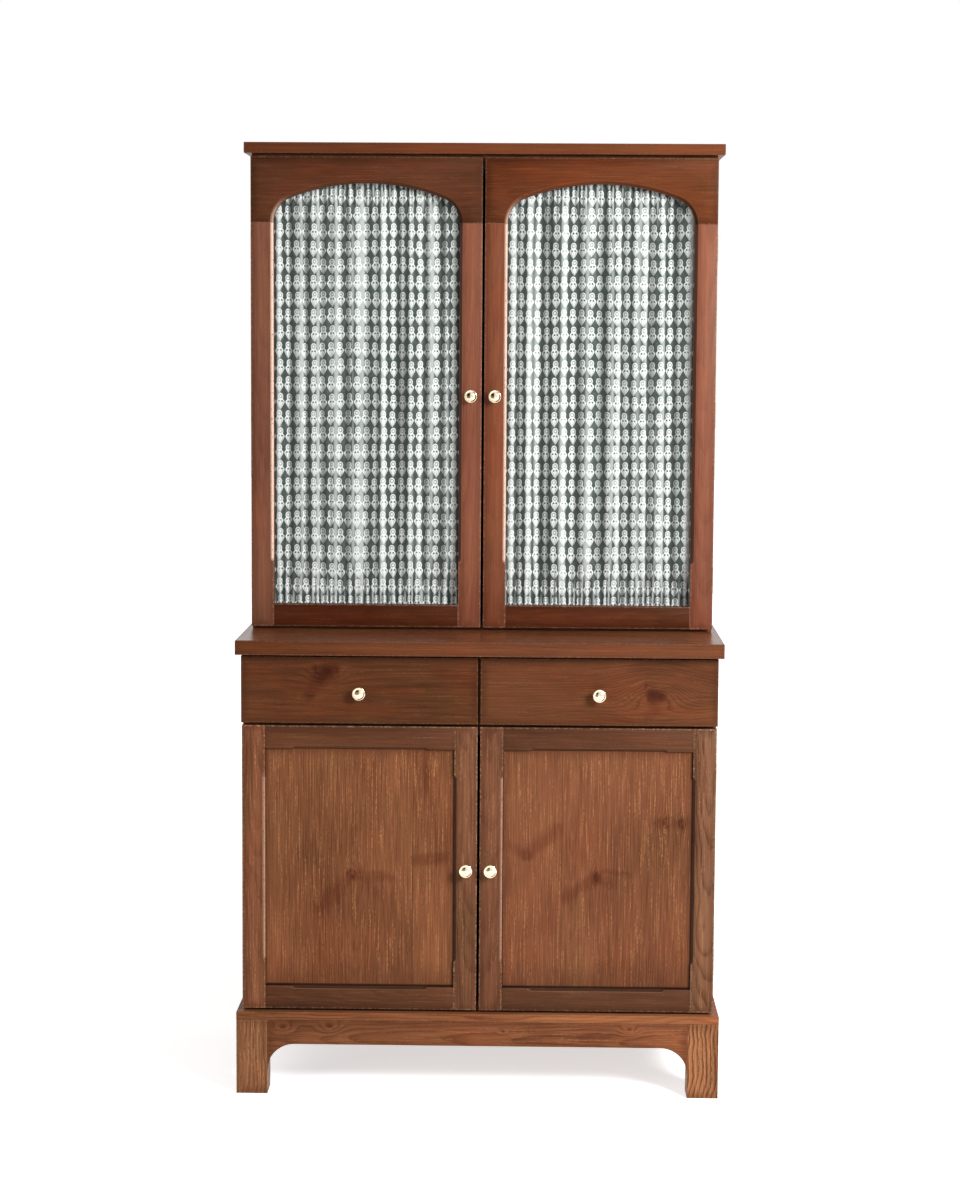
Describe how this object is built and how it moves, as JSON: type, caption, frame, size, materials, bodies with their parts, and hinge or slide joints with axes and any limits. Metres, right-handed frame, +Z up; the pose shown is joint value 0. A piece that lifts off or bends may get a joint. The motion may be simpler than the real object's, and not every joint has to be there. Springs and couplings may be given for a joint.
{
  "type": "cabinet",
  "caption": "Stepped pine cupboard: shallow upper cabinet with arched, curtained doors above a deeper base with drawers, panelled doors and bracket feet.",
  "frame": {"origin": "middle of the footprint, on the floor", "axes": "+Z up, +X to the right as one faces the doors, the front looks to -Y"},
  "size_m": [0.93, 0.473, 1.829],
  "materials": {
    "upper_wood": "red-brown stained pine, satin",
    "lower_wood": "brushed stained pine, worn edges",
    "inner_wood": "plain pine, light stain",
    "brass": "polished",
    "cloth": "printed cotton, gathered",
    "catch": "moulded, brown"
  },
  "bodies": {
    "cabinet": {"crown_board": "upper_wood", "upper_left_side": "upper_wood", "upper_right_side": "upper_wood", "upper_top_panel": "inner_wood", "upper_bottom_panel": "inner_wood", "upper_back_panel": "inner_wood", "upper_shelves": "inner_wood", "worktop": "lower_wood", "lower_left_side": "lower_wood", "lower_right_side": "lower_wood", "drawer_deck": "inner_wood", "drawer_divider": "inner_wood", "lower_bottom_panel": "inner_wood", "lower_back_panel": "inner_wood", "lower_shelf": "inner_wood", "stretchers": "inner_wood", "plinth_board": "lower_wood", "front_apron": "lower_wood", "side_aprons": "lower_wood", "rear_apron": "lower_wood", "front_feet": "lower_wood", "rear_feet": "lower_wood", "hinge_frame_leaves": "brass", "magnetic_catches": "catch"},
    "upper_left_door": {"upper_left_door_hinge_stile": "upper_wood", "upper_left_door_meeting_stile": "upper_wood", "upper_left_door_bottom_rail": "upper_wood", "upper_left_door_arched_rail": "upper_wood", "upper_left_door_curtain": "cloth", "upper_left_door_curtain_rods": "brass", "upper_left_door_knob": "brass", "upper_left_door_plates": "brass"},
    "upper_right_door": {"upper_right_door_hinge_stile": "upper_wood", "upper_right_door_meeting_stile": "upper_wood", "upper_right_door_bottom_rail": "upper_wood", "upper_right_door_arched_rail": "upper_wood", "upper_right_door_curtain": "cloth", "upper_right_door_curtain_rods": "brass", "upper_right_door_knob": "brass", "upper_right_door_plates": "brass"},
    "lower_left_door": {"lower_left_door_hinge_stile": "lower_wood", "lower_left_door_meeting_stile": "lower_wood", "lower_left_door_rails": "lower_wood", "lower_left_door_panel": "lower_wood", "lower_left_door_knob": "brass", "lower_left_door_plates": "brass"},
    "lower_right_door": {"lower_right_door_hinge_stile": "lower_wood", "lower_right_door_meeting_stile": "lower_wood", "lower_right_door_rails": "lower_wood", "lower_right_door_panel": "lower_wood", "lower_right_door_knob": "brass", "lower_right_door_plates": "brass"},
    "left_drawer": {"left_drawer_front": "lower_wood", "left_drawer_box": "inner_wood", "left_drawer_knob": "brass"},
    "right_drawer": {"right_drawer_front": "lower_wood", "right_drawer_box": "inner_wood", "right_drawer_knob": "brass"}
  },
  "joints": [
    {"name": "upper_left_door_hinge", "type": "hinge", "parent": "cabinet", "child": "upper_left_door", "pos_m": [-0.453, -0.01215, 1.345], "axis": [0, 0, -1], "range_deg": [0, 170]},
    {"name": "upper_right_door_hinge", "type": "hinge", "parent": "cabinet", "child": "upper_right_door", "pos_m": [0.453, -0.01215, 1.345], "axis": [0, 0, 1], "range_deg": [0, 170]},
    {"name": "lower_left_door_hinge", "type": "hinge", "parent": "cabinet", "child": "lower_left_door", "pos_m": [-0.453, -0.19315, 0.4415], "axis": [0, 0, -1], "range_deg": [0, 170]},
    {"name": "lower_right_door_hinge", "type": "hinge", "parent": "cabinet", "child": "lower_right_door", "pos_m": [0.453, -0.19315, 0.4415], "axis": [0, 0, 1], "range_deg": [0, 170]},
    {"name": "left_drawer_slide", "type": "slide", "parent": "cabinet", "child": "left_drawer", "axis": [0, -1, 0], "range_m": [0, 0.3]},
    {"name": "right_drawer_slide", "type": "slide", "parent": "cabinet", "child": "right_drawer", "axis": [0, -1, 0], "range_m": [0, 0.3]}
  ]
}
